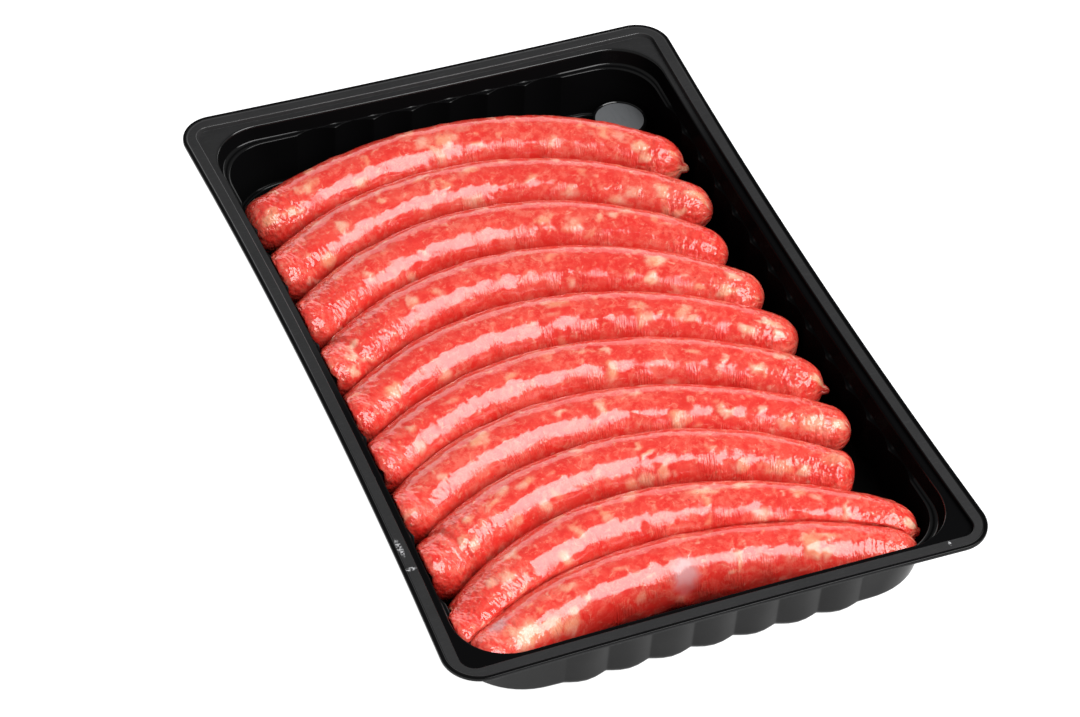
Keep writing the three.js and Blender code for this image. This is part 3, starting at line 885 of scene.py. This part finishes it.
    def fat(self, sausage, own, number, lot, along, arc):
        """How fatty each point is: the lumps that are seen, and scattered lumps and crumbs."""
        spots = []
        for at, round_at, long, wide, _, strength in self.seen(own, SEEN_FAT[number]):
            spots.append((at, round_at, long, wide, lot.uniform(-0.4, 0.4), strength))
            for _ in range(4):
                aside, across = lot.uniform(-1, 1, 2)
                part = lot.uniform(0.3, 0.6)
                spots.append((at + aside * long * MM, round_at + across * wide * MM, part * long, part * wide,
                              lot.uniform(0, np.pi), strength * lot.uniform(0.4, 0.9)))
        whole, girth = own.lengths[-1], np.pi * own.radius
        # How many, their smallest and largest half size in millimetres and how strong
        scattered = ((sausage.large_fat, 0.9, 2.4, 0.82), (sausage.small_fat, 0.4, 0.9, 0.58))
        for count, low, high, strong in scattered:
            for _ in range(count):
                size = lot.uniform(low, high)
                drawn = lot.uniform(1.0, 1.7)
                spots.append((lot.uniform(0, whole), lot.uniform(-girth, girth), size * drawn, size / drawn,
                              lot.uniform(0, np.pi), strong * lot.uniform(0.3, 1.0)))
        return self.patches(lot, along, arc, spots)

    def frayed(self, lot, along, arc):
        """A small uneven shift that frays the edges of patches."""
        shift = 0.42 * MM
        coarse = waves(lot, along, arc, 2.2 * MM)
        return shift * (coarse + 0.3 * waves(lot, along, arc, 0.9 * MM))

    def patches(self, lot, along, arc, spots):
        """Soft irregular patches on the skin: the strongest of all that reach a point."""
        along = along + self.frayed(lot, along, arc)
        arc = arc + self.frayed(lot, along, arc)
        value = np.zeros_like(along)
        for at, round_at, long, wide, turn, strength in spots:
            step, side = along - at, arc - round_at
            near = np.flatnonzero(np.hypot(step, side) < 1.5 * max(long, wide) * MM)
            step, side = step[near], side[near]
            first = (step * math.cos(turn) + side * math.sin(turn)) / (long * MM)
            second = (side * math.cos(turn) - step * math.sin(turn)) / (wide * MM)
            value[near] = np.maximum(value[near], strength * fade_in(-np.hypot(first, second), -1.4, -0.35))
        return value

    def crinkle(self, lot, to_left, around):
        """How finely rippled the casing is: on the inner side of the bend."""
        patchy = 0.3 + 0.55 * waves(lot, to_left, around * RIM.z / 2, 6 * MM)
        return 0.05 + 0.75 * np.clip(patchy, 0.0, 1.2) * fade_in(-around, 0.50, 0.90)

    def ends(self, number, to_left, to_right):
        """How crumpled the casing is: near both ends."""
        reach = LEFT_CRUMPLE[number]
        left = 0.55 * fade_in(-to_left / MM, -reach - 7, 4 - reach)
        right = 0.75 * fade_in(-to_right / MM, -26, -8)
        return 0.03 + np.maximum(left, right)

    def cap(self, sausage, number, to_left, to_right):
        """The share of its girth that a sausage has near a tip: a rounded end, some with a small knob."""
        left = self.dome(to_left / sausage.left_cap, 2.15)
        if number in LEFT_NECKS:
            neck = (to_left / MM - LEFT_NECKS[number]) / self.NECK_LENGTH
            left = left * (1 - self.NECK_DEPTH * np.exp(-neck ** 2))
        knob, radius = (size * MM for size in SEEN_TIPS.get(number, (0, 0)))
        stands_out, tip_girth = 0.6 * knob, 0.8 * RIM.z / 2
        right = self.dome((to_right - stands_out) / (sausage.cap * BLUNT_ENDS.get(number, 1.0)), 2.0)
        if knob:
            right = np.maximum(right, radius / tip_girth * self.dome(to_right / knob, 2.0))
        return np.minimum(left, right)

    def dome(self, inward, bluntness):
        """The share of the girth at a share of the length of a rounded end."""
        return (1 - (1 - np.clip(inward, 0, 1)) ** bluntness) ** (1 / bluntness)

    def wrinkles(self, sausage, lot, around, to_left):
        """Shallow uneven folds that run round the left end."""
        arc = around * RIM.z / 2
        fade = np.clip(1 - to_left / sausage.wrinkle_reach, 0, 1) * np.clip(to_left / sausage.left_cap, 0, 1)
        shifted = to_left + 1.6 * MM * waves(lot, to_left, arc, 5 * MM)
        patchy = np.clip(0.4 + 0.7 * waves(lot, to_left, arc, 4 * MM), 0, 1.2)
        return sausage.wrinkle_height * fade * patchy * np.sin(2 * np.pi * shifted / sausage.wrinkle_pitch)

    def settle(self, sausage, forms, number, data):
        """Keeps the lumps too clear of the neighbours, the walls and the floor."""
        placed = points_of(data)
        placed[:, 2] = np.maximum(placed[:, 2], forms[number].low.z)
        self.press(sausage, forms, number, placed, self.LUMP_SOFTNESS)
        move_points(data, placed)

    def press(self, sausage, forms, number, placed, softness):
        """Keeps a sausage clear of its neighbours: pressed ones meet half-way between their arches."""
        own = forms[number]
        x = placed[:, 0]
        half_gap = sausage.gap / 2
        if number > 0:
            seam = (own.arch(x) + forms[number - 1].arch(x)) / 2
            placed[:, 1] = np.minimum(placed[:, 1], seam - half_gap)
        if number + 1 < len(forms):
            seam = (own.arch(x) + forms[number + 1].arch(x)) / 2
            placed[:, 1] = np.maximum(placed[:, 1], seam + half_gap)
        self.contain(sausage, placed, softness)

    def contain(self, sausage, placed, softness):
        """Keeps a sausage inside the tray's walls and rounded corners."""
        tray = bpy.context.scene.tray_settings
        room = sausage.gap
        share = np.clip((RIM.z - placed[:, 2] - tray.ledge_depth) / (RIM.z - tray.ledge_depth), 0, 1)
        wall = tray.ledge_setback + share * (tray.foot_setback + tray.foot_fillet - tray.ledge_setback)
        corner = tray.cavity_corner + share * (tray.floor_corner - tray.cavity_corner)
        across, along = placed[:, 0], placed[:, 1]
        ledge = RIM.z - tray.ledge_depth
        below = 1 - fade_in(placed[:, 2], ledge, ledge + self.LEDGE_FADE)
        rise = np.clip((placed[:, 2] - ledge) / (tray.ledge_depth - tray.shelf_depth), 0, 1)
        upper = tray.ledge_setback + rise * (tray.cavity_edge - tray.ledge_setback)
        long_ridges = self.flutes(along, tray.long_pitch, tray.long_flutes, tray.ridge)
        short_ridges = self.flutes(across, tray.short_pitch, tray.short_flutes, tray.ridge)
        half_x = RIM.x - room - upper - below * (wall + long_ridges - upper)
        half_y = RIM.y - room - upper - below * (wall + short_ridges - upper)
        reach = np.stack(TrayForm(tray).bowed(half_x, half_y, across, along), axis=1)
        kept = softness * np.logaddexp(0, (reach - np.abs(placed[:, :2])) / softness)
        inside = np.sign(placed[:, :2]) * (reach - kept)
        over = np.maximum(np.abs(inside) - (reach - corner[:, None]), 0)
        excess = np.maximum(np.hypot(*over.T) / corner, 1)
        placed[:, :2] = inside - np.sign(inside) * over * (1 - 1 / excess)[:, None]

    def flutes(self, place, pitch, count, ridge):
        """How far in the wall stands beside places along a side: its flutes, and plain wall beyond them."""
        within = np.abs(place) < pitch * count / 2
        return np.where(within, flute_inset(place, pitch, ridge), ridge)


class MakeStage(Operator):
    """Sets the pale floor, the soft light and the camera"""
    bl_idname = "tray_pack.stage"
    bl_label = "Stage"

    def execute(self, context):
        stage = context.scene.stage_settings
        self.floor(context, stage)
        self.light(context, stage)
        self.camera(context, stage)
        context.scene.view_settings.view_transform = "Standard"
        return {"FINISHED"}

    def floor(self, context, stage):
        """A wide pale floor."""
        nothing_selected()
        bpy.ops.mesh.primitive_grid_add(x_subdivisions=8, y_subdivisions=8, size=stage.floor_size)
        floor = context.object
        floor.name = floor.data.name = "floor"
        floor.data.materials.append(floor_finish(stage))

    def light(self, context, stage):
        """A soft key light and a wide weak fill from behind, over a dim even sky."""
        self.lamp(context, stage, "key")
        self.lamp(context, stage, "fill")
        world = bpy.data.worlds.new("sky")
        world.use_nodes = True
        world.node_tree.nodes["Background"].inputs["Color"].default_value = opaque(stage.sky)
        context.scene.world = world

    def lamp(self, context, stage, name):
        """One flat rectangular light that faces the tray."""
        azimuth, elevation, distance, width, height, power = (
            getattr(stage, f"{name}_{part}")
            for part in ("azimuth", "elevation", "distance", "width", "height", "power")
        )
        light = bpy.data.lights.new(name, "AREA")
        light.shape = "RECTANGLE"
        light.size = width
        light.size_y = height
        light.energy = power
        lamp = bpy.data.objects.new(name, light)
        context.scene.collection.objects.link(lamp)
        back = self.towards(azimuth, elevation)
        lamp.location = back * distance
        lamp.rotation_mode = "QUATERNION"
        lamp.rotation_quaternion = back.to_track_quat("Z", "Y")

    def camera(self, context, stage):
        """The camera at the photograph's angle."""
        lens = bpy.data.cameras.new("camera")
        lens.lens = stage.lens
        camera = bpy.data.objects.new("camera", lens)
        context.scene.collection.objects.link(camera)
        back = self.towards(stage.azimuth, stage.elevation)
        camera.location = Vector(stage.target) + back * stage.distance
        camera.rotation_mode = "QUATERNION"
        turn = Quaternion((0, 0, 1), stage.roll)
        camera.rotation_quaternion = back.to_track_quat("Z", "Y") @ turn
        context.scene.camera = camera

    def towards(self, azimuth, elevation):
        """The direction from the tray to a place round it, with azimuth 0 in front."""
        level = math.cos(elevation)
        return Vector((math.sin(azimuth) * level, -math.cos(azimuth) * level, math.sin(elevation)))


class TrayPackPanel(Panel):
    """Lists the pieces and their settings"""
    bl_idname = "VIEW3D_PT_tray_pack"
    bl_label = "Tray pack"
    bl_space_type = "VIEW_3D"
    bl_region_type = "UI"
    bl_category = "Tray pack"

    def draw(self, context):
        for operator, settings in PIECES:
            box = self.layout.box()
            box.operator(operator.bl_idname)
            group = getattr(context.scene, settings)
            for name in group.__annotations__:
                box.prop(group, name)


PIECES = (
    (MakeStage, "stage_settings"),
    (MakeTray, "tray_settings"),
    (MakeSausages, "sausage_settings"),
)
SETTINGS = {
    "tray_settings": TraySettings,
    "sausage_settings": SausageSettings,
    "stage_settings": StageSettings,
}


def register():
    """Registers the settings, the operators and the panel."""
    for name, group in SETTINGS.items():
        bpy.utils.register_class(group)
        setattr(bpy.types.Scene, name, PointerProperty(type=group))
    for operator, _ in PIECES:
        bpy.utils.register_class(operator)
    bpy.utils.register_class(TrayPackPanel)


def unregister():
    """Takes back all that register did."""
    bpy.utils.unregister_class(TrayPackPanel)
    for operator, _ in reversed(PIECES):
        bpy.utils.unregister_class(operator)
    for name, group in SETTINGS.items():
        delattr(bpy.types.Scene, name)
        bpy.utils.unregister_class(group)


def main():
    """Makes every piece in order."""
    register()
    bpy.ops.tray_pack.stage()
    bpy.ops.tray_pack.tray()
    bpy.ops.tray_pack.sausages()


if __name__ == "__main__":
    main()
